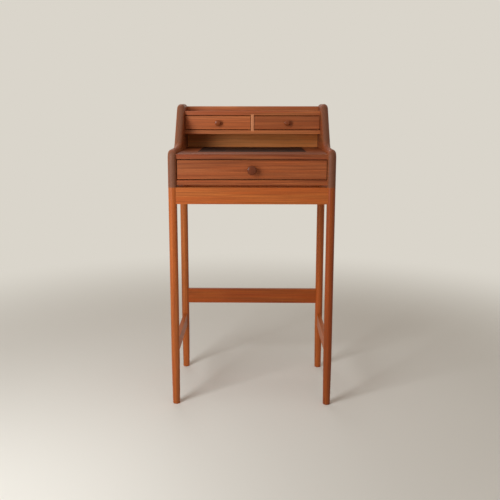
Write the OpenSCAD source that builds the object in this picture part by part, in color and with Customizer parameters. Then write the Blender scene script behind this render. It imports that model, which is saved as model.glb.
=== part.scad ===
// Secretary desk for standing at. A tall frame on four round legs carries a low carcass with one
// wide drawer. The two side panels sweep up at the back and hold a letter slot and two small
// drawers. The origin is on the floor below the middle of the desk, +X to the right, +Y to the
// back and +Z up, so the front faces -Y. Depths are counted from the front edge of the side panels.

/* [Overall] */
// Width over the side panels
desk_w = 600; // [500:5:800]
// Depth of the side panels, front edge to back edge
desk_d = 455; // [430:5:560]
// Height of the leg frame, floor to the joint under the side panels
frame_h = 824; // [640:2:900]
// Thickness of the side panels, and diameter of the legs under them
side_t = 31; // [28:1:36]
// Clearance round joints that are glued or screwed
fit = 0.15; // [0.1:0.05:0.25]
// Clearance between a drawer and what it slides on
slide_gap = 0.3; // [0.2:0.1:0.5]

/* [Side panels] */
// Rise of the panels' low front part above the leg frame
low_rise = 135; // [130:1:160]
// Rise of the hutch above the low front part
hutch_rise = 159; // [155:1:200]
// Depth of the hutch sides at their foot
hutch_foot_d = 245; // [235:5:260]
// Lean of the hutch's front edge from upright, in degrees
hutch_lean = 39; // [32:1:40]
// Radius of the hollow sweep between the low part and the hutch
sweep_r = 65; // [40:5:80]
// Radius of the low front corner, seen from the side
low_corner_r = 30; // [20:1:50]
// Radius of the hutch's top corner, seen from the side
top_corner_r = 36; // [22:1:50]
// Setback of the boards and of the wide drawer from the panels' front edge
reveal = 12; // [8:1:20]
// Depth of the housings that hold the boards in the side panels
housing_d = 8; // [4:1:10]

/* [Writing surface and carcass] */
// Thickness of the writing board and of the carcass bottom
board_t = 18.5; // [15:0.5:22]
// Drop of the writing surface below the side panels' low edge
surface_drop = 16.5; // [8:0.5:24]
// Shadow gap between the leg frame and the carcass bottom
shadow_gap = 7.5; // [3:0.5:12]
// Thickness of the leather
leather_t = 1.5; // [1:0.1:3]
// Wood margin in front of the leather
leather_front = 125; // [40:5:160]
// Wood margin beside the leather
leather_side = 66; // [20:2:120]
// Wood margin behind the leather
leather_back = 10; // [5:1:40]
// Thickness of the plywood backs
back_t = 6; // [4:0.5:8]
// Depth at which the backs lie inside the panels' back edge
back_inset = 2; // [2:0.5:4]
// Length of the stop blocks behind the wide drawer
stop_l = 30; // [15:1:50]
// Width of the stop blocks
stop_w = 36; // [20:1:60]
// Height of the stop blocks
stop_h = 24; // [16:1:34]

/* [Hutch] */
// Depth of the small drawers' case, from its front to the back
case_d = 112; // [95:1:115]
// Height of the letter slot under the small drawers
slot_h = 58; // [40:1:60]
// Thickness of the shelf under the small drawers
shelf_t = 15; // [12:0.5:18]
// Height of the small drawers' opening
small_opening_h = 58; // [50:1:60]
// Thickness of the upright between the small drawers
divider_t = 12; // [9:0.5:20]
// Depth of the grooves that hold the upright
divider_groove = 4; // [2:0.5:6]
// Thickness of the hutch top
hutch_top_t = 17; // [12:0.5:20]
// Height of the gallery rail on the hutch top
gallery_h = 18.5; // [12:0.5:19]
// Thickness of the gallery rail
gallery_t = 12; // [8:0.5:18]

/* [Leg frame] */
// Diameter of a leg at the floor
foot_d = 27; // [22:0.5:28]
// Height over which a leg tapers
taper_h = 175; // [60:5:180]
// Bevel round the foot of a leg
foot_bevel = 1.5; // [0.5:0.5:3]
// Distance from the panels' back edge to the back of the rear legs
rear_leg_setback = 40; // [0:2:60]
// Thickness of the rails under the carcass
apron_t = 20; // [14:0.5:21]
// Height of the rails under the carcass
apron_h = 60; // [52:1:90]
// Thickness of the stretchers
stretcher_t = 16; // [12:0.5:20]
// Height of the side stretchers
side_stretcher_h = 51; // [30:1:70]
// Floor to the lower edge of the side stretchers
side_stretcher_z = 188; // [185:1:260]
// Height of the rear stretcher
rear_stretcher_h = 61; // [30:1:80]
// Floor to the lower edge of the rear stretcher
rear_stretcher_z = 286; // [190:1:420]
// Depth to which a rail's end is let into a leg
rail_seat = 5.5; // [5:0.5:6]
// Length of a tenon beyond the rail's seat
tenon_l = 5; // [2:0.5:5.5]
// Thickness of a tenon
tenon_t = 6; // [4:0.5:7]
// Shoulder above and below a tenon
tenon_shoulder = 8; // [4:1:12]
// Diameter of the dowels in the leg tops
dowel_d = 10; // [8:1:12]
// Length of the dowels in the leg tops
dowel_l = 48; // [30:1:48]

/* [Wide drawer] */
// Gap above and below the wide drawer's front
wide_gap_v = 3; // [1:0.5:4]
// Gap beside the wide drawer
wide_gap_h = 2; // [1:0.5:3]
// Thickness of the wide drawer's front
wide_front_t = 18; // [15:0.5:22]
// Thickness of the wide drawer's sides and back
wide_side_t = 12; // [11:0.5:15]
// Height of the wide drawer's sides
wide_side_h = 56; // [48:1:58]
// Height of the sides' lower edge above the front's lower edge
wide_side_rise = 4; // [0:0.5:6]
// Thickness of the wide drawer's bottom
wide_bottom_t = 5; // [3:0.5:6]
// Number of dovetails at each corner of the wide drawer
wide_tails = 3; // [2:1:4]
// Height of the runners in the drawer's side grooves
runner_h = 10; // [8:0.5:12]
// Depth to which the runners reach into the drawer's sides
runner_reach = 5.5; // [4:0.5:6]
// Diameter of the wide drawer's knob
wide_knob_d = 34; // [26:1:44]
// Length of the wide drawer's knob
wide_knob_l = 26; // [24:1:32]
// Rim radius of the wide drawer's knob
wide_knob_rim = 5; // [3:0.5:6]

/* [Small drawers] */
// Gap above and below a small drawer's front
small_gap_v = 3; // [1:0.5:4]
// Gap beside a small drawer
small_gap_h = 1.5; // [0.5:0.5:3]
// Thickness of a small drawer's front
small_front_t = 15; // [12:0.5:18]
// Thickness of a small drawer's sides and back
small_side_t = 9; // [7:0.5:12]
// Height of a small drawer's sides
small_side_h = 46; // [36:1:48]
// Thickness of a small drawer's bottom
small_bottom_t = 4; // [3:0.5:5]
// Number of dovetails at each corner of a small drawer
small_tails = 2; // [1:1:3]
// Diameter of a small drawer's knob
small_knob_d = 23; // [18:1:30]
// Length of a small drawer's knob
small_knob_l = 19; // [18:1:24]
// Rim radius of a small drawer's knob
small_knob_rim = 3.5; // [2:0.5:4]

/* [Drawer joinery] */
// Height of the bottom panels above the drawer sides' lower edge
bottom_rise = 6; // [4:0.5:8]
// Depth of the grooves that hold the bottom panels
bottom_groove = 5; // [3:0.5:6]
// Share of a corner's height that the dovetails take up at their tips
tail_share = 0.62; // [0.5:0.02:0.75]
// Slope of the dovetails, in degrees
tail_slope = 9; // [5:1:12]
// Wood left in front of the dovetails in a drawer front
lap_t = 5; // [3:0.5:7]

/* [Screws] */
// Shank diameter of the long screws through the side rails
long_screw_d = 4.5; // [3.5:0.5:5]
// Length of the long screws under the head
long_screw_l = 58; // [50:1:64]
// Depth of the counterbores for the long screws
long_screw_sink = 25; // [10:1:30]
// Distance of the long screws from the leg centres
long_screw_inset = 80; // [50:5:110]
// Shank diameter of the small screws
small_screw_d = 3.5; // [3:0.5:4]
// Length of the small screws
small_screw_l = 20; // [16:1:24]
// Shank diameter of the knob screws
knob_screw_d = 4; // [3:0.5:4.5]
// Depth to which a knob screw enters the knob
knob_screw_grip = 12; // [8:1:14]
// Width of the driving slots in the screw heads
driver_slot_w = 1; // [0.6:0.1:1.4]
// Depth of the driving slots in the screw heads
driver_slot_depth = 0.8; // [0.4:0.1:1]

/* [Hidden] */
$fn = 64;
// Facets of the larger turned and swept shapes
round_fn = 96;

// Timber, leather and metal
teak_frame = [0.68, 0.38, 0.2];
teak_panel = [0.4, 0.23, 0.16];
teak_board = [0.55, 0.31, 0.19];
teak_front = [0.6, 0.33, 0.2];
drawer_wood = [0.78, 0.62, 0.42];
ply = [0.6, 0.4, 0.24];
knob_wood = [0.27, 0.15, 0.1];
leather = [0.14, 0.09, 0.07];
steel = [0.7, 0.7, 0.7];

// Cutting tools reach this far past a surface
over = 1;

// Where a straight and a curved edge meet, a core runs through both, just under their surface
joint_reach = 0.5;
joint_inset = 0.2;

// Widths and places across the desk
inner_w = desk_w - 2 * side_t;
board_w = inner_w + 2 * housing_d;
panel_x = (desk_w - side_t) / 2;
leg_r = side_t / 2;

// Places from front to back: the knob stands out in front of the panels
knob_proud = wide_knob_l - reveal;
front_y = (knob_proud - desk_d) / 2;
back_s = desk_d - back_inset - back_t;
case_s = back_s - case_d;
front_leg_y = front_y + leg_r;
rear_leg_y = front_y + desk_d - rear_leg_setback - leg_r;

// Heights
low_z = frame_h + low_rise;
desk_h = low_z + hutch_rise;
surface_z = low_z - surface_drop;
writing_z = surface_z - board_t;
bottom_z = frame_h + shadow_gap;
opening_z = bottom_z + board_t;
opening_h = writing_z - opening_z;
shelf_z = surface_z + slot_h;
small_opening_z = shelf_z + shelf_t;
hutch_top_z = small_opening_z + small_opening_h;
gallery_z = hutch_top_z + hutch_top_t;

// Side panel outline: the edges are half round, so the flat core lies one edge radius inside
edge_r = side_t / 2;
core_low_z = low_z - edge_r;
core_top_z = desk_h - edge_r;
sweep_turn = 90 - hutch_lean;
core_low_r = low_corner_r - edge_r;
core_top_r = top_corner_r - edge_r;
core_sweep_r = sweep_r + edge_r;
core_meet_s = desk_d - hutch_foot_d + edge_r * tan(sweep_turn / 2);
sweep_reach = core_sweep_r * tan(sweep_turn / 2);
top_reach = core_top_r * tan(sweep_turn / 2);
lean_top_s = core_meet_s + (core_top_z - core_low_z) * tan(hutch_lean);
sweep_from = [core_meet_s - sweep_reach, core_low_z];
lean_from = [core_meet_s, core_low_z] + sweep_reach * [cos(sweep_turn), sin(sweep_turn)];
lean_to = [lean_top_s, core_top_z] - top_reach * [cos(sweep_turn), sin(sweep_turn)];
low_centre = [edge_r + core_low_r, core_low_z - core_low_r];
top_centre = [lean_top_s + top_reach, core_top_z - core_top_r];

// Rails and their seats in the legs
seat_r = leg_r - rail_seat;
rail_x_l = 2 * (panel_x - seat_r);
rail_y_l = rear_leg_y - front_leg_y - 2 * seat_r;
leg_mid_y = (front_leg_y + rear_leg_y) / 2;
apron_z = frame_h - apron_h;
tenon_under_dowel = 3;
apron_tenon_drop = dowel_l / 2 + tenon_under_dowel;
dowel_play = 1;

// Drawers
wide_w = inner_w - 2 * wide_gap_h;
wide_h = opening_h - 2 * wide_gap_v;
wide_d = back_s - reveal - stop_l - slide_gap;
small_opening_w = (inner_w - divider_t) / 2;
small_w = small_opening_w - 2 * small_gap_h;
small_h = small_opening_h - 2 * small_gap_v;
small_d = case_d - slide_gap;
small_x = (divider_t + small_opening_w) / 2;
runner_t = wide_gap_h + runner_reach;
runner_z = opening_z + wide_gap_v + wide_side_rise + wide_side_h / 2 - runner_h / 2;
runner_setback = 2;
runner_from = reveal + wide_front_t + runner_setback;
runner_to = back_s - stop_l;
// Wood left above and below the dovetails
tail_margin = 1;

// Knobs: height of the top above the rim's middle in rim radii, and the hollow of the neck
knob_rim_rise = 1.4;
cove_radius = 0.8;
cove_offset = 0.25;

// Screws
head_ratio = 2;
head_h = 2.5;
hole_play = 0.1;
long_head_h = 3;
counterbore_play = 1;
panel_screw_z = apron_z + long_screw_sink;
runner_screw_front = 40;
runner_screw_rear = 60;
runner_screw_s = [runner_from + runner_screw_front, runner_to - runner_screw_rear];
back_split_z = surface_z - board_t / 2;
back_screw_in = 12;
// The heads of the back screws stay this far inside the panels' back edge
back_head_inset = 0.5;
back_head_h = back_inset - back_head_inset;
back_screw_z = [
    opening_z + back_screw_in, writing_z - back_screw_in,
    surface_z + back_screw_in, hutch_top_z - back_screw_in
];

// ---- shared shapes ----

// The section of a half-round edge: a half disc towards +X on a strip that reaches into the core
module edge_section(r = edge_r) {
    intersection() {
        circle(r = r, $fn = round_fn);
        translate([0, -r]) square([r, 2 * r]);
    }
    translate([-over, -r]) square([over, 2 * r]);
}

// A half-round strip along a straight edge, bulging to the left of the way from a to b
module edge_strip(a, b) {
    along = b - a;
    translate(a)
        rotate(atan2(along[1], along[0]))
            rotate([90, 0, 90]) linear_extrude(norm(along)) edge_section();
}

// A board across the desk, housed in both side panels
module board(s0, s1, z, t, grow = 0) {
    translate([-board_w / 2 - grow, front_y + s0 - grow, z - grow])
        cube([board_w + 2 * grow, s1 - s0 + 2 * grow, t + 2 * grow]);
}

// A rail with a tenon at each end, along X and centred, its lower edge at z = 0
module rail(l, t, h, top_shoulder, grow = 0) {
    translate([-l / 2 - grow, -t / 2 - grow, -grow])
        cube([l + 2 * grow, t + 2 * grow, h + 2 * grow]);
    translate([-l / 2 - tenon_l - grow, -tenon_t / 2 - grow, tenon_shoulder - grow])
        cube([l + 2 * tenon_l + 2 * grow, tenon_t + 2 * grow,
              h - tenon_shoulder - top_shoulder + 2 * grow]);
}

// A countersunk screw pointing along +Z, its head's flat face at z = 0
module countersunk_screw(d, l, grow = 0) {
    head_r = d * head_ratio / 2;
    cylinder(h = l + grow, r = d / 2 + grow);
    cylinder(h = head_h + grow, r1 = head_r + grow, r2 = d / 2 + grow);
}

// A flat-headed screw pointing along +Z, with its head below z = 0
module flat_head_screw(d, l, head, grow = 0) {
    cylinder(h = l + grow, r = d / 2 + grow);
    translate([0, 0, -head]) cylinder(h = head, r = d * head_ratio / 2 + grow);
}

// Cuts the driving slot into a screw whose head has its flat face at z = face_z
module slotted(d, face_z) {
    difference() {
        children();
        translate([-d * head_ratio, -driver_slot_w / 2, face_z - over])
            cube([2 * d * head_ratio, driver_slot_w, driver_slot_depth + over]);
    }
}

// A turned knob standing on z = 0: coved neck, rounded rim, shallow dome
module turned_knob(d, l, rim) {
    rim_c = d / 2 - rim;
    rim_z = l - knob_rim_rise * rim;
    dome_r = (rim_c * rim_c + pow(l - rim_z, 2) - rim * rim) / (2 * (l - rim_z - rim));
    cove_r = rim_z / 2;
    rotate_extrude($fn = round_fn) {
        difference() {
            square([rim_c, rim_z]);
            translate([rim_c + cove_offset * cove_r, cove_r]) circle(r = cove_radius * cove_r);
        }
        intersection() {
            translate([rim_c, rim_z]) circle(r = rim);
            square([d, l]);
        }
        intersection() {
            translate([0, l - dome_r]) circle(r = dome_r, $fn = 4 * round_fn);
            translate([0, rim_z]) square([rim_c * dome_r / (dome_r - rim), l]);
        }
    }
}

// ---- leg frame ----

module side_rail_place(side, z) {
    translate([side * panel_x, leg_mid_y, z]) rotate([0, 0, 90]) children();
}

module apron_x(y, grow = 0) {
    translate([0, y, apron_z]) rail(rail_x_l, apron_t, apron_h, apron_tenon_drop, grow);
}

module apron_y(side, grow = 0) {
    side_rail_place(side, apron_z) rail(rail_y_l, apron_t, apron_h, apron_tenon_drop, grow);
}

module stretcher_y(side, grow = 0) {
    side_rail_place(side, side_stretcher_z)
        rail(rail_y_l, stretcher_t, side_stretcher_h, tenon_shoulder, grow);
}

module stretcher_x(grow = 0) {
    translate([0, rear_leg_y, rear_stretcher_z])
        rail(rail_x_l, stretcher_t, rear_stretcher_h, tenon_shoulder, grow);
}

module leg_dowel(side, y, grow = 0) {
    translate([side * panel_x, y, frame_h - dowel_l / 2 - grow])
        cylinder(h = dowel_l + 2 * grow, d = dowel_d + 2 * min(grow, hole_play));
}

module leg(side, y) {
    color(teak_frame)
        difference() {
            translate([side * panel_x, y, 0])
                rotate_extrude($fn = round_fn)
                    polygon([
                        [0, 0], [foot_d / 2 - foot_bevel, 0], [foot_d / 2, foot_bevel],
                        [leg_r, taper_h], [leg_r, frame_h], [0, frame_h]
                    ]);
            apron_x(y, fit);
            apron_y(side, fit);
            stretcher_y(side, fit);
            if (y == rear_leg_y) stretcher_x(fit);
            leg_dowel(side, y, dowel_play);
        }
}

module panel_screw_place(side) {
    for (y = [front_leg_y + long_screw_inset, rear_leg_y - long_screw_inset])
        translate([side * panel_x, y, panel_screw_z]) children();
}

module side_apron(side) {
    color(teak_frame)
        difference() {
            apron_y(side);
            panel_screw_place(side) cylinder(h = apron_h, d = long_screw_d + 2 * hole_play);
            panel_screw_place(side)
                translate([0, 0, -long_screw_sink - over])
                    cylinder(h = long_screw_sink + over,
                             d = long_screw_d * head_ratio + counterbore_play);
        }
}

// ---- side panels ----

// The flat core of a side panel, X as depth and Y as height
module panel_core() {
    difference() {
        union() {
            polygon([
                [edge_r, frame_h], [edge_r, low_centre[1]], [low_centre[0], core_low_z],
                sweep_from, lean_from, lean_to, [top_centre[0], core_top_z],
                [desk_d, core_top_z], [desk_d, frame_h]
            ]);
            translate(low_centre) circle(r = core_low_r);
            translate(top_centre) circle(r = core_top_r);
        }
        translate(sweep_from + [0, core_sweep_r]) circle(r = core_sweep_r, $fn = 2 * round_fn);
    }
}

// Joins the straight and the curved edge that meet here into one solid
module edge_joint(place) {
    translate(place)
        rotate(sweep_turn)
            translate([-joint_reach, 0])
                rotate([90, 0, 90])
                    linear_extrude(2 * joint_reach) edge_section(edge_r - joint_inset);
}

// The half-round edge all along the front and the top
module panel_edge() {
    edge_strip([edge_r, frame_h], [edge_r, low_centre[1]]);
    edge_strip([low_centre[0], core_low_z], sweep_from);
    edge_strip(lean_from, lean_to);
    edge_strip([top_centre[0], core_top_z], [desk_d, core_top_z]);
    translate(low_centre)
        rotate(90)
            rotate_extrude(angle = 90, $fn = round_fn)
                translate([core_low_r, 0]) edge_section();
    translate(top_centre)
        rotate(90)
            rotate_extrude(angle = sweep_turn, $fn = round_fn)
                translate([core_top_r, 0]) edge_section();
    translate(sweep_from + [0, core_sweep_r])
        rotate(-90)
            rotate_extrude(angle = sweep_turn, $fn = 2 * round_fn)
                translate([core_sweep_r, 0]) mirror([1, 0]) edge_section();
    edge_joint(lean_from);
    edge_joint(lean_to);
}

module all_boards(grow) {
    board(reveal, back_s, writing_z, board_t, grow);
    board(reveal, back_s, bottom_z, board_t, grow);
    board(case_s, back_s, shelf_z, shelf_t, grow);
    board(case_s, back_s, hutch_top_z, hutch_top_t, grow);
    board(back_s - gallery_t, back_s, gallery_z, gallery_h, grow);
}

// The rebate for the two plywood backs, open to the back
module back_rebate() {
    translate([-board_w / 2 - fit, front_y + back_s, bottom_z - fit])
        cube([board_w + 2 * fit, back_t + back_inset + over, gallery_z - bottom_z + 2 * fit]);
}

module side_panel(side) {
    color(teak_panel)
        difference() {
            translate([side * panel_x, front_y, 0])
                rotate([90, 0, 90]) {
                    translate([0, 0, -edge_r]) linear_extrude(side_t) panel_core();
                    panel_edge();
                }
            all_boards(fit);
            back_rebate();
            leg_dowel(side, front_leg_y, dowel_play);
            leg_dowel(side, rear_leg_y, dowel_play);
            panel_screw_place(side) cylinder(h = long_screw_l + over, d = long_screw_d + 2 * hole_play);
            runner_screw_place(side) countersunk_screw(small_screw_d, small_screw_l, hole_play);
            back_screw_place(side) back_screw(hole_play);
        }
}

// ---- carcass ----

module leather_space(t, grow = 0) {
    translate([-inner_w / 2 + leather_side - grow, front_y + reveal + leather_front - grow,
               surface_z - leather_t])
        cube([inner_w - 2 * leather_side + 2 * grow,
              back_s - reveal - leather_front - leather_back + 2 * grow, t]);
}

module back_panel(z0, z1) {
    color(ply)
        difference() {
            translate([-board_w / 2, front_y + back_s, z0]) cube([board_w, back_t, z1 - z0]);
            for (side = [-1, 1]) back_screw_place(side) back_screw(hole_play);
        }
}

module back_screw_place(side) {
    for (z = back_screw_z)
        translate([side * (inner_w + housing_d) / 2, front_y + back_s + back_t, z])
            rotate([90, 0, 0]) children();
}

module back_screw(grow = 0) {
    flat_head_screw(small_screw_d, small_screw_l, back_head_h, grow);
}

module runner(side) {
    color(drawer_wood)
        difference() {
            translate([side > 0 ? inner_w / 2 - runner_t : -inner_w / 2,
                       front_y + runner_from, runner_z])
                cube([runner_t, runner_to - runner_from, runner_h]);
            runner_screw_place(side) countersunk_screw(small_screw_d, small_screw_l, hole_play);
        }
}

module runner_screw_place(side) {
    for (s = runner_screw_s)
        translate([side * (inner_w / 2 - runner_t), front_y + s, runner_z + runner_h / 2])
            rotate([0, side * 90, 0]) children();
}

module divider(grow = 0) {
    translate([-divider_t / 2 - grow, front_y + case_s - grow,
               small_opening_z - divider_groove - grow])
        cube([divider_t + 2 * grow, case_d + grow,
              small_opening_h + 2 * divider_groove + 2 * grow]);
}

// ---- drawers ----

// Sets the sizes of the wide drawer. The origin is the middle of the front's lower edge.
module in_wide_drawer() {
    $w = wide_w;
    $d = wide_d;
    $h = wide_h;
    $front_t = wide_front_t;
    $side_t = wide_side_t;
    $side_h = wide_side_h;
    $side_z = wide_side_rise;
    $bottom_t = wide_bottom_t;
    $tails = wide_tails;
    translate([0, front_y + reveal, opening_z + wide_gap_v]) children();
}

// Sets the sizes of a small drawer, -1 for the left one and 1 for the right one
module in_small_drawer(place) {
    $w = small_w;
    $d = small_d;
    $h = small_h;
    $front_t = small_front_t;
    $side_t = small_side_t;
    $side_h = small_side_h;
    $side_z = slide_gap - small_gap_v;
    $bottom_t = small_bottom_t;
    $tails = small_tails;
    translate([place * small_x, front_y + case_s, small_opening_z + small_gap_v]) children();
}

// A row of dovetails between two heights, from a shoulder at y = 0 towards +Y, x thick
module tails(z0, z1, l, x, grow = 0) {
    pitch = (z1 - z0) / $tails;
    tip = pitch * tail_share / 2 + grow;
    root = tip - l * tan(tail_slope);
    for (i = [0 : $tails - 1])
        translate([0, 0, z0 + (i + 0.5) * pitch])
            rotate([90, 0, 90])
                linear_extrude(x)
                    polygon([[-over, -root], [0, -root], [l + grow, -tip],
                             [l + grow, tip], [0, root], [-over, root]]);
}

// The dovetails at a drawer side's two ends, at its place on the left
module side_tails(grow = 0) {
    low = $side_z + bottom_rise + $bottom_t + tail_margin;
    high = $side_z + $side_h - tail_margin;
    past = grow > 0 ? over : 0;
    x = $side_t + grow + past;
    translate([-$w / 2 - past, $front_t, 0])
        mirror([0, 1, 0]) tails(low, high, $front_t - lap_t, x, grow);
    translate([-$w / 2 - past, $d - $side_t, 0]) tails(low, high, $side_t, x, grow);
}

module bottom_panel(grow = 0) {
    w = $w - 2 * $side_t + 2 * bottom_groove;
    translate([-w / 2 - grow, $front_t - bottom_groove - grow, $side_z + bottom_rise - grow])
        cube([w + 2 * grow, $d - $front_t + bottom_groove + grow, $bottom_t + 2 * grow]);
}

module knob_screw_hole() {
    translate([0, -over, $h / 2])
        rotate([-90, 0, 0]) cylinder(h = $front_t + 2 * over, d = knob_screw_d + 2 * hole_play);
}

module drawer_front() {
    difference() {
        translate([-$w / 2, 0, 0]) cube([$w, $front_t, $h]);
        side_tails(fit);
        mirror([1, 0, 0]) side_tails(fit);
        bottom_panel(fit);
        knob_screw_hole();
    }
}

// A drawer side at its place on the left; side = 1 mirrors it to the right
module drawer_side(side) {
    mirror([side > 0 ? 1 : 0, 0, 0])
        difference() {
            union() {
                translate([-$w / 2, $front_t, $side_z])
                    cube([$side_t, $d - $side_t - $front_t, $side_h]);
                side_tails();
            }
            bottom_panel(fit);
        }
}

// The back stands on the bottom panel, between the shoulders of the two sides
module drawer_back() {
    z0 = $side_z + bottom_rise + $bottom_t;
    difference() {
        translate([-$w / 2, $d - $side_t, z0]) cube([$w, $side_t, $side_h + $side_z - z0]);
        side_tails(fit);
        mirror([1, 0, 0]) side_tails(fit);
    }
}

module drawer_knob(d, l, rim) {
    translate([0, 0, $h / 2])
        rotate([90, 0, 0])
            difference() {
                turned_knob(d, l, rim);
                translate([0, 0, -over])
                    cylinder(h = knob_screw_grip + 2 * over, d = knob_screw_d + 2 * hole_play);
            }
}

module drawer_knob_screw() {
    translate([0, $front_t, $h / 2])
        rotate([90, 0, 0])
            slotted(knob_screw_d, -head_h)
                flat_head_screw(knob_screw_d, $front_t + knob_screw_grip, head_h);
}

// The grooves in the wide drawer's sides, with room for the runners
module runner_grooves() {
    for (side = [-1, 1])
        translate([side * (inner_w / 2 - runner_t / 2), 0, runner_z + runner_h / 2])
            translate([-runner_t / 2 - slide_gap, front_y + runner_from - over,
                       -runner_h / 2 - slide_gap])
                cube([runner_t + 2 * slide_gap, desk_d, runner_h + 2 * slide_gap]);
}

// ---- nodes ----

module leg_front_left() { leg(-1, front_leg_y); }
module leg_front_right() { leg(1, front_leg_y); }
module leg_rear_left() { leg(-1, rear_leg_y); }
module leg_rear_right() { leg(1, rear_leg_y); }
module apron_front() { color(teak_frame) apron_x(front_leg_y); }
module apron_rear() { color(teak_frame) apron_x(rear_leg_y); }
module apron_left() { side_apron(-1); }
module apron_right() { side_apron(1); }
module stretcher_left() { color(teak_frame) stretcher_y(-1); }
module stretcher_right() { color(teak_frame) stretcher_y(1); }
module stretcher_rear() { color(teak_frame) stretcher_x(); }

module leg_dowels() {
    color(drawer_wood)
        for (side = [-1, 1], y = [front_leg_y, rear_leg_y]) leg_dowel(side, y);
}

module panel_screws() {
    color(steel)
        for (side = [-1, 1])
            panel_screw_place(side)
                slotted(long_screw_d, -long_head_h)
                    flat_head_screw(long_screw_d, long_screw_l, long_head_h);
}

module side_panel_left() { side_panel(-1); }
module side_panel_right() { side_panel(1); }

module writing_board() {
    color(teak_board)
        difference() {
            board(reveal, back_s, writing_z, board_t);
            leather_space(leather_t + over);
        }
}

module leather_inlay() { color(leather) leather_space(leather_t, -fit); }
module carcass_bottom() { color(teak_board) board(reveal, back_s, bottom_z, board_t); }
module carcass_back() { back_panel(bottom_z, back_split_z); }
module hutch_back() { back_panel(back_split_z, gallery_z); }

module back_screws() {
    color(steel)
        for (side = [-1, 1])
            back_screw_place(side) slotted(small_screw_d, -back_head_h) back_screw();
}

module runner_left() { runner(-1); }
module runner_right() { runner(1); }

module runner_screws() {
    color(steel)
        for (side = [-1, 1])
            runner_screw_place(side)
                slotted(small_screw_d, 0) countersunk_screw(small_screw_d, small_screw_l);
}

module drawer_stops() {
    color(drawer_wood)
        for (side = [-1, 1])
            translate([side > 0 ? inner_w / 2 - stop_w : -inner_w / 2,
                       front_y + back_s - stop_l, opening_z])
                cube([stop_w, stop_l, stop_h]);
}

module hutch_shelf() {
    color(teak_board)
        difference() {
            board(case_s, back_s, shelf_z, shelf_t);
            divider(fit);
        }
}

module hutch_divider() { color(teak_frame) divider(); }

module hutch_top() {
    color(teak_board)
        difference() {
            board(case_s, back_s, hutch_top_z, hutch_top_t);
            divider(fit);
        }
}

module gallery_rail() {
    color(teak_board) board(back_s - gallery_t, back_s, gallery_z, gallery_h);
}

module wide_drawer_front() { color(teak_front) in_wide_drawer() drawer_front(); }

module wide_drawer_side(side) {
    color(drawer_wood)
        difference() {
            in_wide_drawer() drawer_side(side);
            runner_grooves();
        }
}

module wide_drawer_side_left() { wide_drawer_side(-1); }
module wide_drawer_side_right() { wide_drawer_side(1); }

module wide_drawer_back() {
    color(drawer_wood)
        difference() {
            in_wide_drawer() drawer_back();
            runner_grooves();
        }
}

module wide_drawer_bottom() { color(ply) in_wide_drawer() bottom_panel(); }

module wide_drawer_knob() {
    color(knob_wood) in_wide_drawer() drawer_knob(wide_knob_d, wide_knob_l, wide_knob_rim);
}

module wide_knob_screw() { color(steel) in_wide_drawer() drawer_knob_screw(); }

module small_drawer_knob(place) {
    color(knob_wood)
        in_small_drawer(place) drawer_knob(small_knob_d, small_knob_l, small_knob_rim);
}

module left_drawer_front() { color(teak_front) in_small_drawer(-1) drawer_front(); }
module left_drawer_side_left() { color(drawer_wood) in_small_drawer(-1) drawer_side(-1); }
module left_drawer_side_right() { color(drawer_wood) in_small_drawer(-1) drawer_side(1); }
module left_drawer_back() { color(drawer_wood) in_small_drawer(-1) drawer_back(); }
module left_drawer_bottom() { color(ply) in_small_drawer(-1) bottom_panel(); }
module left_drawer_knob() { small_drawer_knob(-1); }
module left_knob_screw() { color(steel) in_small_drawer(-1) drawer_knob_screw(); }
module right_drawer_front() { color(teak_front) in_small_drawer(1) drawer_front(); }
module right_drawer_side_left() { color(drawer_wood) in_small_drawer(1) drawer_side(-1); }
module right_drawer_side_right() { color(drawer_wood) in_small_drawer(1) drawer_side(1); }
module right_drawer_back() { color(drawer_wood) in_small_drawer(1) drawer_back(); }
module right_drawer_bottom() { color(ply) in_small_drawer(1) bottom_panel(); }
module right_drawer_knob() { small_drawer_knob(1); }
module right_knob_screw() { color(steel) in_small_drawer(1) drawer_knob_screw(); }

leg_front_left();
leg_front_right();
leg_rear_left();
leg_rear_right();
apron_front();
apron_rear();
apron_left();
apron_right();
stretcher_left();
stretcher_right();
stretcher_rear();
leg_dowels();
panel_screws();
side_panel_left();
side_panel_right();
writing_board();
leather_inlay();
carcass_bottom();
carcass_back();
hutch_back();
back_screws();
runner_left();
runner_right();
runner_screws();
drawer_stops();
hutch_shelf();
hutch_divider();
hutch_top();
gallery_rail();
wide_drawer_front();
wide_drawer_side_left();
wide_drawer_side_right();
wide_drawer_back();
wide_drawer_bottom();
wide_drawer_knob();
wide_knob_screw();
left_drawer_front();
left_drawer_side_left();
left_drawer_side_right();
left_drawer_back();
left_drawer_bottom();
left_drawer_knob();
left_knob_screw();
right_drawer_front();
right_drawer_side_left();
right_drawer_side_right();
right_drawer_back();
right_drawer_bottom();
right_drawer_knob();
right_knob_screw();
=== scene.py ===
"""The looks of the secretary desk: oiled teak, a leather inlay, turned knobs, on a plain pale floor."""
import math

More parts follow.
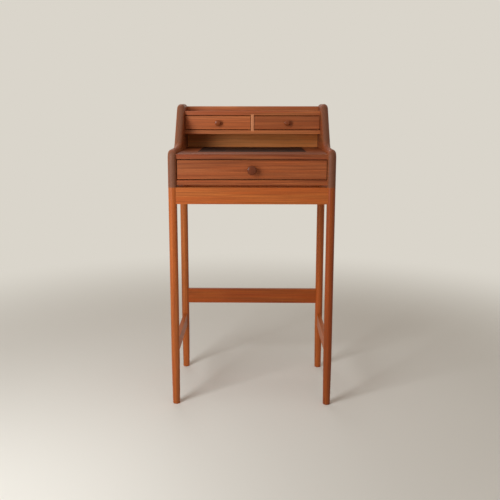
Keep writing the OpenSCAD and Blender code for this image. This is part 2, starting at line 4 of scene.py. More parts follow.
import bpy
from mathutils import Euler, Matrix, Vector


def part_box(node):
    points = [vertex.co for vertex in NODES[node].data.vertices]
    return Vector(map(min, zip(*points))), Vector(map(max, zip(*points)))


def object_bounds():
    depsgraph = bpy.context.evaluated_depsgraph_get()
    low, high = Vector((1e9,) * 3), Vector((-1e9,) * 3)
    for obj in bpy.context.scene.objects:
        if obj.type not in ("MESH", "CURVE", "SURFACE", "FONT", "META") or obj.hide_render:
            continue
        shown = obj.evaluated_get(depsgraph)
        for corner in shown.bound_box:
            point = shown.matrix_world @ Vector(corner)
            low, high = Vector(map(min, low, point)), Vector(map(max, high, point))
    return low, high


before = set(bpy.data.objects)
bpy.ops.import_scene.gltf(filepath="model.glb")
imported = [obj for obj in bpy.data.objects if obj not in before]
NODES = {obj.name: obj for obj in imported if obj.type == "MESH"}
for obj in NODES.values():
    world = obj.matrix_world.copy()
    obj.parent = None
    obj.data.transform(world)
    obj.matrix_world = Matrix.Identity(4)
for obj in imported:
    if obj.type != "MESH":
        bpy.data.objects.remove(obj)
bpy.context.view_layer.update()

MM = 0.001
X_AXIS, Y_AXIS, Z_AXIS = (1, 0, 0), (0, 1, 0), (0, 0, 1)


# ---- small helpers for node trees ----

def add(tree, kind, inputs=None, **settings):
    """Adds a node. inputs maps a socket's name or number to a value, or to an output to link from."""
    node = tree.nodes.new(kind)
    for name, value in settings.items():
        setattr(node, name, value)
    for key, value in (inputs or {}).items():
        if isinstance(value, bpy.types.NodeSocket):
            tree.links.new(value, node.inputs[key])
        else:
            node.inputs[key].default_value = value
    return node


def calc(tree, operation, a, b=0.0, c=0.0, clamp=False):
    """One number from up to three."""
    inputs = {0: a, 1: b, 2: c}
    return add(tree, "ShaderNodeMath", inputs, operation=operation, use_clamp=clamp).outputs[0]


def combine(tree, operation, *vectors):
    """One vector from up to three."""
    inputs = dict(enumerate(vectors))
    return add(tree, "ShaderNodeVectorMath", inputs, operation=operation).outputs[0]


def measure(tree, operation, *vectors):
    """One number from one or two vectors, such as a length or a distance."""
    inputs = dict(enumerate(vectors))
    return add(tree, "ShaderNodeVectorMath", inputs, operation=operation).outputs["Value"]


def spread(tree, value, low, high, out_low=0.0, out_high=1.0, smooth=True):
    """Maps low..high to out_low..out_high, held at both ends."""
    kind = "SMOOTHSTEP" if smooth else "LINEAR"
    inputs = {0: value, 1: low, 2: high, 3: out_low, 4: out_high}
    return add(tree, "ShaderNodeMapRange", inputs, interpolation_type=kind).outputs[0]


def blend_colour(tree, factor, a, b, how="MIX"):
    """Mixes two colours, or multiplies them."""
    inputs = {0: factor, 6: a, 7: b}
    return add(tree, "ShaderNodeMix", inputs, data_type="RGBA", blend_type=how).outputs[2]


def noise(tree, place, across, along, detail=2.0, roughness=0.5):
    """Noise from 0 to 1, with this many cells to a metre across the grain and along it, which is Z."""
    stretched = combine(tree, "MULTIPLY", place, (across, across, along))
    inputs = {"Vector": stretched, "Scale": 1.0, "Detail": detail, "Roughness": roughness}
    return add(tree, "ShaderNodeTexNoise", inputs)


def rgb(red, green, blue):
    """A colour as it is seen, 0 to 255, as the linear colour that a shader takes."""
    def linear(value):
        value /= 255
        return value / 12.92 if value <= 0.04045 else ((value + 0.055) / 1.055) ** 2.4
    return (linear(red), linear(green), linear(blue), 1.0)


def times(colour, factor):
    """A colour made darker or paler, at most white."""
    return tuple(min(1.0, factor * part) for part in colour[:3]) + (1.0,)


def group_with(name, inputs, outputs):
    """A new shader group with these sockets, as (name, kind) pairs."""
    tree = bpy.data.node_groups.new(name, "ShaderNodeTree")
    for direction, sockets in (("INPUT", inputs), ("OUTPUT", outputs)):
        for socket, kind in sockets:
            tree.interface.new_socket(socket, in_out=direction, socket_type="NodeSocket" + kind)
    return tree, tree.nodes.new("NodeGroupInput"), tree.nodes.new("NodeGroupOutput")


def new_material(name):
    """A new material, with its node tree and its shader."""
    material = bpy.data.materials.new(name)
    material.use_nodes = True
    return material, material.node_tree, material.node_tree.nodes["Principled BSDF"]


def finish_shader(tree, shader, colour, roughness, height, bump, depth):
    """Links a colour, a roughness and a relief, of this strength (bump) and full depth."""
    relief = add(tree, "ShaderNodeBump", {"Strength": bump, "Distance": depth, "Height": height})
    tree.links.new(colour, shader.inputs["Base Color"])
    tree.links.new(roughness, shader.inputs["Roughness"])
    tree.links.new(relief.outputs[0], shader.inputs["Normal"])


# ---- wood ----

# Each wood: the early and the late wood of a ring, the tint of its broad bands, its end grain, the
# width of a ring in mm, how strongly rings, tinted bands, narrow streaks, fibres and pores show, and
# its roughness
WOODS = {
    "frame_teak": dict(early=rgb(194, 110, 50), late=rgb(138, 66, 26), tint=rgb(176, 84, 32),
                       end=rgb(104, 58, 36), ring=6.5, rings=0.5, bands=0.7, streaks=0.16,
                       fibres=0.6, pores=0.6, rough=0.42),
    "panel_teak": dict(early=rgb(166, 96, 54), late=rgb(112, 60, 34), tint=rgb(148, 72, 36),
                       end=rgb(128, 82, 60), ring=8.0, rings=0.7, bands=0.7, streaks=0.2,
                       fibres=0.6, pores=0.6, rough=0.44),
    "board_teak": dict(early=rgb(170, 98, 56), late=rgb(112, 56, 30), tint=rgb(140, 64, 34),
                       end=rgb(104, 60, 38), ring=5.0, rings=0.55, bands=0.75, streaks=0.24,
                       fibres=0.6, pores=0.6, rough=0.42),
    "front_teak": dict(early=rgb(174, 98, 54), late=rgb(118, 60, 32), tint=rgb(154, 76, 36),
                       end=rgb(104, 60, 38), ring=4.5, rings=0.55, bands=0.7, streaks=0.26,
                       fibres=0.6, pores=0.6, rough=0.4),
    "light_teak": dict(early=rgb(222, 150, 104), late=rgb(190, 116, 74), tint=rgb(208, 132, 86),
                       end=rgb(150, 92, 60), ring=5.0, rings=0.3, bands=0.4, streaks=0.12,
                       fibres=0.4, pores=0.3, rough=0.45),
    "drawer_wood": dict(early=rgb(205, 168, 118), late=rgb(180, 138, 88), tint=rgb(196, 150, 96),
                        end=rgb(150, 112, 70), ring=4.0, rings=0.4, bands=0.35, streaks=0.12,
                        fibres=0.5, pores=0.35, rough=0.5),
    "plywood": dict(early=rgb(206, 134, 76), late=rgb(158, 90, 44), tint=rgb(190, 110, 50),
                    end=rgb(130, 84, 50), ring=9.0, rings=0.6, bands=0.7, streaks=0.14,
                    fibres=0.5, pores=0.5, rough=0.5),
    "knob_wood": dict(early=rgb(160, 78, 40), late=rgb(98, 42, 20), tint=rgb(134, 58, 26),
                      end=rgb(132, 64, 34), ring=2.5, rings=0.6, bands=0.5, streaks=0.1,
                      fibres=0.5, pores=0.3, rough=0.3),
}

# Cells to a metre of each pattern in the wood, across the grain and along it
WANDER_CELLS = (5, 1.3)
BAND_CELLS = (42, 2.2)
STREAK_CELLS = (130, 3)
FIBRE_CELLS = (420, 7)
PORE_CELLS = (1500, 55)
END_DOT_CELLS = (900, 900)

# Where a pattern, which runs from 0 to 1, starts to show and where it shows in full
BAND_SHOWS = (0.35, 0.65)
STREAK_SHOWS = (0.3, 0.7)
FIBRE_SHOWS = (0.3, 0.7)
PORE_SHOWS = (0.6, 0.72)
END_DOT_SHOWS = (0.35, 0.7)

# The log isn't straight: how far its pith goes from side to side, in metres
WANDER_REACH = (0.05, 0.05, 0.0)

# Rings are of uneven width: changes to a metre of radius, and how many rings they shift by at most
RING_CHANGES = 55.0
RING_SHIFT = 3.0

# A ring goes from 0, its pale inner edge, to 1: how late it darkens, and where it turns pale again
LATE_WOOD_CURVE = 2.5
LATE_WOOD_ENDS = 0.9

# Early wood gives way over this part of a ring, and late wood keeps this share of the pores
EARLY_WOOD = (0.0, 0.8)
LATE_PORES = 0.35

# How strongly pores, and the dots and rings of cut ends, cover the colour below them
PORE_COVER = 0.6
END_DOT_COVER = 0.5
END_RING_COVER = 0.35

# Pores are this much darker than late wood, and end rings than end grain; worn wood is this much
# paler than early wood
PORE_TONE = 0.35
END_RING_TONE = 0.5
WORN_TONE = 1.35

# Worn edges: how far in the wear reaches, the cosines between which the rounding shows, the band
# values between which the wear grows, and its least and most
WORN_REACH = 1.6 * MM
WORN_ROUNDING = (0.97, 0.75)
WORN_BANDS = (0.35, 0.6)
WORN_COVER = (0.1, 0.5)

# What fibres, pores and cut ends add to the roughness; what fibres, pores and late wood add to
# the relief
FIBRE_ROUGHNESS, PORE_ROUGHNESS, END_ROUGHNESS = 0.12, 0.25, 0.12
FIBRE_HEIGHT, PORE_HEIGHT, LATE_WOOD_HEIGHT = 0.35, -1.0, -0.12


def ring_pattern(tree, place, ring):
    """How far out each point is in its ring, 0 to 1, and how much late wood is there."""
    wander = noise(tree, place, *WANDER_CELLS, detail=1.5).outputs["Color"]
    centred = combine(tree, "SUBTRACT", wander, (0.5, 0.5, 0.5))
    bent = combine(tree, "MULTIPLY_ADD", centred, WANDER_REACH, place)
    axes = add(tree, "ShaderNodeSeparateXYZ", {0: bent}).outputs
    radius = calc(tree, "SQRT", calc(tree, "MULTIPLY_ADD", axes[0], axes[0],
                                     calc(tree, "MULTIPLY", axes[1], axes[1])))
    unevenness = add(tree, "ShaderNodeTexNoise", {"W": calc(tree, "MULTIPLY", radius, RING_CHANGES),
                     "Scale": 1.0, "Detail": 2.0}, noise_dimensions="1D").outputs[0]
    turn = calc(tree, "MULTIPLY_ADD", radius, 1 / (ring * MM),
                calc(tree, "MULTIPLY", unevenness, RING_SHIFT))
    phase = calc(tree, "FRACT", turn)
    rise = calc(tree, "POWER", phase, LATE_WOOD_CURVE)
    fall = spread(tree, phase, LATE_WOOD_ENDS, 1.0, 1.0, 0.0)
    return phase, calc(tree, "MULTIPLY", rise, fall)


def pore_pattern(tree, place, phase, pores):
    """The fine dark pores, more of them in early wood."""
    field = noise(tree, place, *PORE_CELLS, detail=1).outputs[0]
    pore = calc(tree, "MULTIPLY", spread(tree, field, *PORE_SHOWS),
                spread(tree, phase, *EARLY_WOOD, 1.0, LATE_PORES))
    return calc(tree, "MULTIPLY", pore, pores)


def end_colour(tree, place, late_wood, end, late):
    """Cut ends drink more oil, so they have a colour of their own, with dots and fainter rings."""
    dots = noise(tree, place, *END_DOT_CELLS, detail=2).outputs[0]
    dotted = spread(tree, dots, *END_DOT_SHOWS, 0.0, END_DOT_COVER)
    colour = blend_colour(tree, dotted, end, late)
    ringed = calc(tree, "MULTIPLY", late_wood, END_RING_COVER)
    return blend_colour(tree, ringed, colour, times(end, END_RING_TONE))


def worn_edges(tree, band):
    """Where the wood is handled: its edges, more in some stretches than in others."""
    rounded = add(tree, "ShaderNodeBevel", {"Radius": WORN_REACH}, samples=6).outputs[0]
    flat = add(tree, "ShaderNodeNewGeometry").outputs["Normal"]
    edge = spread(tree, measure(tree, "DOT_PRODUCT", rounded, flat), *WORN_ROUNDING)
    return calc(tree, "MULTIPLY", edge, spread(tree, band, *WORN_BANDS, *WORN_COVER))


def wood_surface(tree, fibre, pore, late_wood, end_grain, rough):
    """The roughness of the wood, and its relief."""
    roughness = calc(tree, "MULTIPLY_ADD", fibre, FIBRE_ROUGHNESS, rough - FIBRE_ROUGHNESS / 2)
    roughness = calc(tree, "MULTIPLY_ADD", pore, PORE_ROUGHNESS, roughness)
    roughness = calc(tree, "MULTIPLY_ADD", end_grain, END_ROUGHNESS, roughness)
    height = calc(tree, "MULTIPLY", fibre, FIBRE_HEIGHT)
    height = calc(tree, "MULTIPLY_ADD", pore, PORE_HEIGHT, height)
    return roughness, calc(tree, "MULTIPLY_ADD", late_wood, LATE_WOOD_HEIGHT, height)


def wood_group(name, early, late, tint, end, ring, rings, bands, streaks, fibres, pores, rough):
    """Solid wood. Its pith is the line x = y = 0 and its grain runs along Z, in metres."""
    tree, taken, given = group_with(
        name, [("Place", "Vector"), ("End grain", "Float")],
        [("Color", "Color"), ("Roughness", "Float"), ("Height", "Float")])
    place, end_grain = taken.outputs[0], taken.outputs[1]
    phase, late_wood = ring_pattern(tree, place, ring)
    band = noise(tree, place, *BAND_CELLS, detail=3, roughness=0.55).outputs[0]
    streak = noise(tree, place, *STREAK_CELLS, detail=2, roughness=0.6).outputs[0]
    fibre = noise(tree, place, *FIBRE_CELLS, detail=4, roughness=0.65).outputs[0]
    pore = pore_pattern(tree, place, phase, pores)

    # Rings and fibres darken the wood, bands tint it, and streaks and pores lie over them
    dark = calc(tree, "MULTIPLY_ADD", spread(tree, fibre, *FIBRE_SHOWS, smooth=False), fibres,
                calc(tree, "MULTIPLY", late_wood, rings), clamp=True)
    colour = blend_colour(tree, dark, early, late)
    tinted = calc(tree, "MULTIPLY", spread(tree, band, *BAND_SHOWS), bands)
    colour = blend_colour(tree, tinted, colour, tint)
    level = spread(tree, streak, *STREAK_SHOWS, 1 - streaks, 1 + streaks, smooth=False)
    colour = blend_colour(tree, 1.0, colour, level, how="MULTIPLY")
    pored = calc(tree, "MULTIPLY", pore, PORE_COVER)
    colour = blend_colour(tree, pored, colour, times(late, PORE_TONE))
    colour = blend_colour(tree, end_grain, colour, end_colour(tree, place, late_wood, end, late))
    colour = blend_colour(tree, worn_edges(tree, band), colour, times(early, WORN_TONE))

    roughness, height = wood_surface(tree, fibre, pore, late_wood, end_grain, rough)
    for socket, value in (("Color", colour), ("Roughness", roughness), ("Height", height)):
        tree.links.new(value, given.inputs[socket])
    return tree


wood_groups = {name: wood_group(name, **look) for name, look in WOODS.items()}

# The turn that brings each grain direction to Z
GRAIN_TURN = {"X": (0, -math.pi / 2, 0), "Y": (math.pi / 2, 0, 0), "Z": (0, 0, 0)}
GRAIN_AXIS = {"X": X_AXIS, "Y": Y_AXIS, "Z": Z_AXIS}

# Each board's red, green and blue against the rest of its kind. These are partly the board's own tone
# and partly painted light: pieces on the right are darker, a painted shade of the light that falls from
# the left; pieces on the left are paler, a painted light; the gallery rail and the hutch boards are
# paler and greyer, partly a painted sheen.
TONES_AND_PAINTED_LIGHT = {
    "gallery_rail": (1.55, 2.0, 2.1), "hutch_top": (1.38, 1.44, 1.36),
    "hutch_shelf": (1.56, 1.64, 1.52), "hutch_back": (1.45, 1.45, 1.4),
    "hutch_divider": (1.1, 1.07, 1.08),
    "left_drawer_front": (1.36, 1.4, 1.4), "right_drawer_front": (1.1, 1.1, 1.1),
    "wide_drawer_front": (0.97, 0.94, 0.9), "writing_board": (0.84, 0.8, 0.74),
    "carcass_bottom": (1.02, 0.94, 0.8), "side_panel_right": (0.9, 0.85, 0.8),
    "leg_front_right": (0.7, 0.56, 0.4), "leg_rear_right": (0.94, 0.88, 0.76),
    "stretcher_rear": (0.8, 0.66, 0.46), "apron_front": (0.98, 0.95, 0.92),
    "wide_drawer_knob": (0.7, 0.7, 0.66), "left_drawer_knob": (1.3, 1.36, 1.1),
    "right_drawer_knob": (1.2, 1.26, 1.1),
}
SAME_TONE = (1.0, 1.0, 1.0)

# The relief of all wood: its strength and full depth
WOOD_BUMP, WOOD_DEPTH = 0.12, 0.6 * MM

# The gloss of oiled wood and of wood under lacquer; how much lacquer the knobs have, and how rough
# lacquer is
OILED_GLOSS, LACQUERED_GLOSS = 0.25, 0.05
KNOB_LACQUER, LACQUER_ROUGHNESS = 0.35, 0.12

# The cosine, between where a face looks and the grain, at which end grain starts to show, and the
# one at which it shows in full
END_GRAIN_SHOWS = (0.3, 0.85)

# Each piece is cut from its own place in the log: the place nearest to the pith, and the steps
# across and along the log to the others, in metres
LOG_START = (0.035, 0.03)
LOG_STEP = (0.009, 0.006, 0.37)


def spot_in_log(piece):
    """The place in the log that a piece is cut from, its own for each piece, in metres."""
    number = sorted(NODES).index(piece)
    return Vector((LOG_START[0] + LOG_STEP[0] * (number * 7 % 11),
                   LOG_START[1] + LOG_STEP[1] * (number * 5 % 13), LOG_STEP[2] * number))


def wood(kind, grain, piece, lacquer):
    """The material of one piece: wood with its grain along X, Y or Z, under this much lacquer."""
    material, tree, shader = new_material(f"{kind}_{piece}")
    coordinates = add(tree, "ShaderNodeTexCoord")
    middle = sum(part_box(piece), Vector()) / 2
    middle.rotate(Euler(GRAIN_TURN[grain], "XYZ"))
    turned = add(tree, "ShaderNodeMapping", {
        "Vector": coordinates.outputs["Object"], "Rotation": GRAIN_TURN[grain],
        "Location": spot_in_log(piece) - middle})
    facing = measure(tree, "DOT_PRODUCT", coordinates.outputs["Normal"], GRAIN_AXIS[grain])
    end_grain = spread(tree, calc(tree, "ABSOLUTE", facing), *END_GRAIN_SHOWS)
    body = add(tree, "ShaderNodeGroup", node_tree=wood_groups[kind])
    tree.links.new(turned.outputs[0], body.inputs["Place"])
    tree.links.new(end_grain, body.inputs["End grain"])
    # The piece's tone, with its painted light and shade, multiplies the wood's colour
    tone_and_painted_light = (*TONES_AND_PAINTED_LIGHT.get(piece, SAME_TONE), 1.0)
    colour_with_painted_light = blend_colour(tree, 1.0, body.outputs["Color"], tone_and_painted_light, how="MULTIPLY")
    finish_shader(tree, shader, colour_with_painted_light, body.outputs["Roughness"], body.outputs["Height"],
                  WOOD_BUMP, WOOD_DEPTH)
    gloss = LACQUERED_GLOSS if lacquer else OILED_GLOSS
    shader.inputs["Specular IOR Level"].default_value = gloss
    shader.inputs["Coat Weight"].default_value = lacquer
    shader.inputs["Coat Roughness"].default_value = LACQUER_ROUGHNESS
    return material


# ---- leather and metal ----

# Cells to a metre of each pattern in the leather
PEBBLE_CELLS = 620.0
CREASE_CELLS = 260.0
WEAR_CELLS = (14, 14)
SCUFF_CELLS = (90, 90)

LEATHER, WORN_LEATHER = rgb(34, 19, 13), rgb(50, 29, 20)
CREASE_COLOUR, SCUFF_COLOUR = rgb(24, 15, 12), rgb(84, 56, 42)

# Where wear and scuffs start to show and show in full, how wide a crease is in its cell, and how
# strongly creases and scuffs cover the colour below them
WEAR_SHOWS, SCUFF_SHOWS = (0.35, 0.7), (0.62, 0.75)
CREASE_WIDTH = 0.12
CREASE_COVER, SCUFF_COVER = 0.5, 0.3

# The roughness of new leather and what wear adds to it, what pebbles and creases add to the
# relief, the strength and full depth of the relief, and the gloss
LEATHER_ROUGHNESS, WEAR_ROUGHNESS = 0.65, -0.2
PEBBLE_HEIGHT, CREASE_HEIGHT = -1.0, -0.6
LEATHER_BUMP, LEATHER_DEPTH = 0.35, 0.4 * MM
LEATHER_GLOSS = 0.2


def leather():
    """Dark brown desk leather: pebbled grain, worn a little paler and smoother in patches."""
    material, tree, shader = new_material("leather_inlay")
    place = add(tree, "ShaderNodeTexCoord").outputs["Object"]
    pebbles = add(tree, "ShaderNodeTexVoronoi", {"Vector": place, "Scale": PEBBLE_CELLS,
                  "Smoothness": 0.6}, feature="SMOOTH_F1").outputs["Distance"]
    creases = add(tree, "ShaderNodeTexVoronoi", {"Vector": place, "Scale": CREASE_CELLS},
                  feature="DISTANCE_TO_EDGE").outputs["Distance"]
    wear = noise(tree, place, *WEAR_CELLS, detail=4, roughness=0.6).outputs[0]
    scuffs = noise(tree, place, *SCUFF_CELLS, detail=3).outputs[0]
    crease = spread(tree, creases, 0.0, CREASE_WIDTH, 1.0, 0.0)
    colour = blend_colour(tree, spread(tree, wear, *WEAR_SHOWS), LEATHER, WORN_LEATHER)
    creased = calc(tree, "MULTIPLY", crease, CREASE_COVER)
    colour = blend_colour(tree, creased, colour, CREASE_COLOUR)
    scuffed = spread(tree, scuffs, *SCUFF_SHOWS, 0.0, SCUFF_COVER)
    colour = blend_colour(tree, scuffed, colour, SCUFF_COLOUR)
    roughness = calc(tree, "MULTIPLY_ADD", wear, WEAR_ROUGHNESS, LEATHER_ROUGHNESS)
    height = calc(tree, "MULTIPLY", pebbles, PEBBLE_HEIGHT)
    height = calc(tree, "MULTIPLY_ADD", crease, CREASE_HEIGHT, height)
    finish_shader(tree, shader, colour, roughness, height, LEATHER_BUMP, LEATHER_DEPTH)
    shader.inputs["Specular IOR Level"].default_value = LEATHER_GLOSS
    return material


# Cells to a metre of each pattern in the steel
TARNISH_CELLS = (320, 320)
SCRATCH_CELLS = (2600, 260)

# Where tarnish starts to show and shows in full, the roughness of bright steel and what tarnish
# adds to it, and the strength and full depth of the scratches
BRIGHT_STEEL, DULL_STEEL = (0.62, 0.6, 0.56, 1), (0.3, 0.27, 0.23, 1)
TARNISH_SHOWS = (0.4, 0.7)
STEEL_ROUGHNESS, TARNISH_ROUGHNESS = 0.2, 0.35
STEEL_BUMP, STEEL_DEPTH = 0.2, 0.1 * MM


def screw_steel():
    """Plain screw steel, drawn and a little tarnished."""
    material, tree, shader = new_material("screw_steel")
    place = add(tree, "ShaderNodeTexCoord").outputs["Object"]
    tarnish = noise(tree, place, *TARNISH_CELLS, detail=4, roughness=0.6).outputs[0]
    scratches = noise(tree, place, *SCRATCH_CELLS, detail=2).outputs[0]
    colour = blend_colour(tree, spread(tree, tarnish, *TARNISH_SHOWS), BRIGHT_STEEL, DULL_STEEL)
    roughness = calc(tree, "MULTIPLY_ADD", tarnish, TARNISH_ROUGHNESS, STEEL_ROUGHNESS)
    finish_shader(tree, shader, colour, roughness, scratches, STEEL_BUMP, STEEL_DEPTH)
    shader.inputs["Metallic"].default_value = 1.0
    return material


# ---- edges ----

# An edge that turns by more than this is eased, or stays a line in the shading, in degrees
EASED_TURN = 35
SHADED_TURN = 50

# The shortest edge that is eased, and the reach within which corners are one corner
SHORTEST_EASED = 14 * MM
CORNER_REACH = 0.002 * MM

# The cosines above which a face counts as the flat side of a panel, and as a hidden joint
FLAT_SIDE = 0.99999
HIDDEN_JOINT = 0.9999

# How far the hutch's front edge leans back from upright, and so which way its joints face
HUTCH_LEAN = math.radians(39)
JOINT_FACING = (0, math.sin(HUTCH_LEAN), math.cos(HUTCH_LEAN))


def geometry_group(name):
    """A new geometry group that takes and gives geometry."""
    tree = bpy.data.node_groups.new(name, "GeometryNodeTree")
    for direction in ("INPUT", "OUTPUT"):
        tree.interface.new_socket("Geometry", in_out=direction, socket_type="NodeSocketGeometry")
    return tree, tree.nodes.new("NodeGroupInput").outputs[0], tree.nodes.new("NodeGroupOutput")


def compare(tree, a, b, operation):
    """True where a is greater than b, or less, as the operation says."""
    return add(tree, "FunctionNodeCompare", {0: a, 1: b}, operation=operation).outputs[0]


def sharp(tree, degrees):
    """True on edges that turn by more than this angle."""
    angle = add(tree, "GeometryNodeInputMeshEdgeAngle").outputs["Unsigned Angle"]
    return compare(tree, angle, math.radians(degrees), "GREATER_THAN")


def facing_along(tree, direction):
    """How far a face looks along a direction or against it: 1 straight, 0 across."""
    normal = add(tree, "GeometryNodeInputNormal").outputs[0]
    return calc(tree, "ABSOLUTE", measure(tree, "DOT_PRODUCT", normal, direction))


def seam_group():
    """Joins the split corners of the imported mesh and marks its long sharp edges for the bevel."""
    tree, taken, given = geometry_group("find_edges")
    bare = add(tree, "GeometryNodeRemoveAttribute", {"Geometry": taken, "Name": "custom_normal"})
    joined = add(tree, "GeometryNodeMergeByDistance", {"Geometry": bare.outputs[0],
                                                      "Distance": CORNER_REACH})
    ends = add(tree, "GeometryNodeInputMeshEdgeVertices").outputs
    length = measure(tree, "DISTANCE", ends["Position 1"], ends["Position 2"])
    long_enough = compare(tree, length, SHORTEST_EASED, "GREATER_THAN")
    chosen = add(tree, "FunctionNodeBooleanMath", {0: sharp(tree, EASED_TURN), 1: long_enough},
                 operation="AND").outputs[0]
    weighted = add(tree, "GeometryNodeStoreNamedAttribute", {"Geometry": joined.outputs[0],
                   "Name": "bevel_weight_edge", "Value": chosen}, domain="EDGE")
    tree.links.new(weighted.outputs[0], given.inputs[0])
    return tree


def shading_group():
    """Shades smooth, but for the edges that stay sharp and the flat sides of the panels."""
    tree, taken, given = geometry_group("shade_edges")
    curved = compare(tree, facing_along(tree, X_AXIS), FLAT_SIDE, "LESS_THAN")
    smooth = add(tree, "GeometryNodeSetShadeSmooth", {"Geometry": taken, "Shade Smooth": curved})
    split = add(tree, "GeometryNodeSetShadeSmooth", {"Geometry": smooth.outputs[0],
                "Selection": sharp(tree, SHADED_TURN), "Shade Smooth": False}, domain="EDGE")
    tree.links.new(split.outputs[0], given.inputs[0])
    return tree


def joint_group():
    """Leaves out the faces hidden inside a side panel, where stretches of its rounded edge meet."""
    tree, taken, given = geometry_group("leave_hidden_joints")
    hidden = compare(tree, facing_along(tree, JOINT_FACING), HIDDEN_JOINT, "GREATER_THAN")
    left = add(tree, "GeometryNodeDeleteGeometry", {"Geometry": taken, "Selection": hidden},
               domain="FACE")
    tree.links.new(left.outputs[0], given.inputs[0])
    return tree


leave_hidden_joints = joint_group()
find_edges = seam_group()
shade_edges = shading_group()


def use_group(piece, group):
    """Runs a geometry group on a piece, as a modifier with the group's name."""
    piece.modifiers.new(group.name, "NODES").node_group = group


def ease_edges(piece, width):
    """Takes the sharpness off a piece's long edges, as sandpaper does."""
    use_group(piece, find_edges)
    if width > 0:
        bevel = piece.modifiers.new("ease_edges", "BEVEL")
        bevel.limit_method = "WEIGHT"
        bevel.width = width
        bevel.segments = 2
        bevel.use_clamp_overlap = False
        bevel.miter_outer = "MITER_ARC"
    use_group(piece, shade_edges)
    piece.modifiers.new("face_normals", "WEIGHTED_NORMAL").keep_sharp = True


# ---- dressing the pieces ----

# Each line: names that hold this word, their wood or steel, the way their grain runs, and how far
# their edges are eased, in mm. The first line that fits a name counts.
PIECES = [
    ("leg_dowels", "drawer_wood", "Z", 0.0),
    ("leg_", "frame_teak", "Z", 0.0),
    ("apron_front", "frame_teak", "X", 1.0), ("apron_rear", "frame_teak", "X", 1.0),
    ("apron_", "frame_teak", "Y", 1.0),
    ("stretcher_rear", "frame_teak", "X", 1.2), ("stretcher_", "frame_teak", "Y", 1.2),
    ("side_panel", "panel_teak", "Y", 0.0),
    ("writing_board", "board_teak", "X", 0.8), ("carcass_bottom", "board_teak", "X", 0.8),
    ("hutch_shelf", "board_teak", "X", 0.7), ("hutch_top", "board_teak", "X", 0.8),
    ("gallery_rail", "board_teak", "X", 1.0), ("hutch_divider", "light_teak", "Z", 0.6),
    ("carcass_back", "plywood", "X", 0.3), ("hutch_back", "plywood", "X", 0.3),
    ("screw", "steel", None, 0.0),
    ("runner_", "drawer_wood", "Y", 0.5), ("drawer_stops", "drawer_wood", "Y", 0.8),
    ("drawer_front", "front_teak", "X", 1.0), ("drawer_side", "drawer_wood", "Y", 0.6),
    ("drawer_back", "drawer_wood", "X", 0.6), ("drawer_bottom", "plywood", "X", 0.2),
    ("drawer_knob", "knob_wood", "Y", 0.0),
]
LEATHER_EASE = 0.5


def dress(name, piece):
    """Gives one CAD node its material and eased edges."""
    if name == "leather_inlay":
        material, ease = leather(), LEATHER_EASE
    else:
        kind, grain, ease = next(look for word, *look in PIECES if word in name)
        lacquer = KNOB_LACQUER if kind == "knob_wood" else 0.0
        material = steel if kind == "steel" else wood(kind, grain, name, lacquer)
    piece.data.materials[0] = material
    if name.startswith("side_panel"):
        use_group(piece, leave_hidden_joints)
    ease_edges(piece, ease * MM)


steel = screw_steel()
for node_name, node_piece in NODES.items():
    dress(node_name, node_piece)


# ---- floor, backdrop, lamps and camera ----

BACKDROP, FLOOR = rgb(218, 213, 203), rgb(238, 234, 226)
FLOOR_RADIUS, FLOOR_ROUGHNESS = 30, 0.75
WORLD_LIGHT, WORLD_STRENGTH = (1.0, 0.89, 0.77, 1.0), 0.28

# How far from the middle of the desk the floor starts to fade, and where it is all backdrop, in
# metres
FLOOR_FADES = (0.9, 2.6)


def seen_directly(tree):
    """1 where the camera, gloss or glass looks, and 0 where only light is gathered."""
    path = add(tree, "ShaderNodeLightPath").outputs
    return calc(tree, "MAXIMUM", path["Is Camera Ray"],
                calc(tree, "MAXIMUM", path["Is Glossy Ray"], path["Is Transmission Ray"]))


def make_floor():
    """A pale floor that keeps the desk's shadow and fades into the backdrop far away."""
    bpy.ops.mesh.primitive_circle_add(vertices=96, radius=FLOOR_RADIUS, fill_type="NGON")
    floor = bpy.context.object
    floor.name = "floor"
    floor.location.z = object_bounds()[0].z
    material, tree, shader = new_material("floor")
    shader.inputs["Base Color"].default_value = FLOOR
    shader.inputs["Roughness"].default_value = FLOOR_ROUGHNESS
    place = add(tree, "ShaderNodeTexCoord").outputs["Object"]
    fade = spread(tree, measure(tree, "LENGTH", place), *FLOOR_FADES)
    far = calc(tree, "MULTIPLY", fade, seen_directly(tree))
    plain = add(tree, "ShaderNodeEmission", {"Color": BACKDROP})
    mixed = add(tree, "ShaderNodeMixShader", {0: far, 1: shader.outputs[0], 2: plain.outputs[0]})
    tree.links.new(mixed.outputs[0], tree.nodes["Material Output"].inputs["Surface"])
    floor.data.materials.append(material)


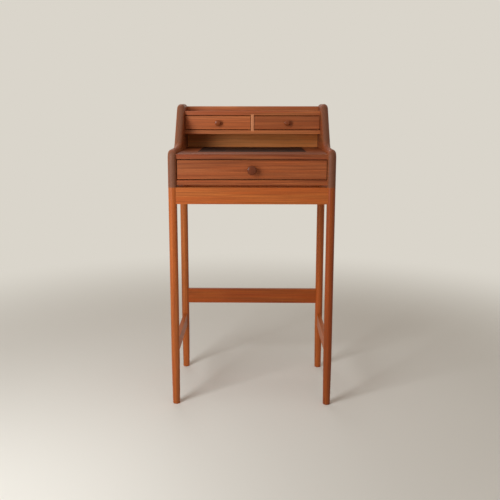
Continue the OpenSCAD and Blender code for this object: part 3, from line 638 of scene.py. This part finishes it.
def make_world():
    """Even light from all round, and the backdrop colour where it is seen."""
    world = bpy.data.worlds.new("studio")
    bpy.context.scene.world = world
    world.use_nodes = True
    tree = world.node_tree
    light = tree.nodes["Background"]
    light.inputs["Color"].default_value = WORLD_LIGHT
    light.inputs["Strength"].default_value = WORLD_STRENGTH
    plain = add(tree, "ShaderNodeBackground", {"Color": BACKDROP})
    mixed = add(tree, "ShaderNodeMixShader", {0: seen_directly(tree), 1: light.outputs[0],
                                             2: plain.outputs[0]})
    tree.links.new(mixed.outputs[0], tree.nodes["World Output"].inputs["Surface"])


DESK_MIDDLE = (0, 0, 0.85)


def make_lamp(name, place, size, power, colour=(1.0, 1.0, 1.0)):
    """A soft lamp turned to the desk; its size is its width and height."""
    data = bpy.data.lights.new(name, "AREA")
    data.shape = "RECTANGLE"
    data.size, data.size_y = size
    data.energy = power
    data.color = colour
    lamp = bpy.data.objects.new(name, data)
    lamp.location = place
    lamp.rotation_euler = (Vector(DESK_MIDDLE) - Vector(place)).to_track_quat("-Z", "Y").to_euler()
    bpy.context.scene.collection.objects.link(lamp)


# The camera: its place in metres, how far it looks down and turns left in degrees, its lens and
# the width of its film in mm, and the shift of its picture as a share of that width
CAMERA_PLACE = (0.0152, -2.6837, 1.115)
LOOKS_DOWN, TURNS_LEFT = 10.62, 0.96
LENS, FILM_WIDTH = 50, 36
SHIFT_X, SHIFT_Y = 0.0112, -0.03


def make_camera():
    """The camera stands in front of the desk, turned a little to the left, and looks down."""
    data = bpy.data.cameras.new("camera")
    data.lens = LENS
    data.sensor_width = FILM_WIDTH
    data.shift_x = SHIFT_X
    data.shift_y = SHIFT_Y
    camera = bpy.data.objects.new("camera", data)
    camera.location = CAMERA_PLACE
    camera.rotation_euler = (math.radians(90 - LOOKS_DOWN), 0, math.radians(TURNS_LEFT))
    bpy.context.scene.collection.objects.link(camera)
    bpy.context.scene.camera = camera


make_floor()
make_world()
make_lamp("window", (-1.3, -1.55, 1.4), size=(0.8, 1.4), power=32, colour=(0.965, 1.01, 1.04))
make_lamp("fill", (1.3, -2.6, 1.4), size=(0.7, 1.2), power=1.5, colour=(1.0, 0.86, 0.73))
make_lamp("top", (0, -0.5, 3.3), size=(2.0, 2.0), power=6)
make_lamp("rear", (-0.7, 2.2, 3.0), size=(1.5, 1.5), power=12)
make_camera()
bpy.context.scene.view_settings.view_transform = "Standard"
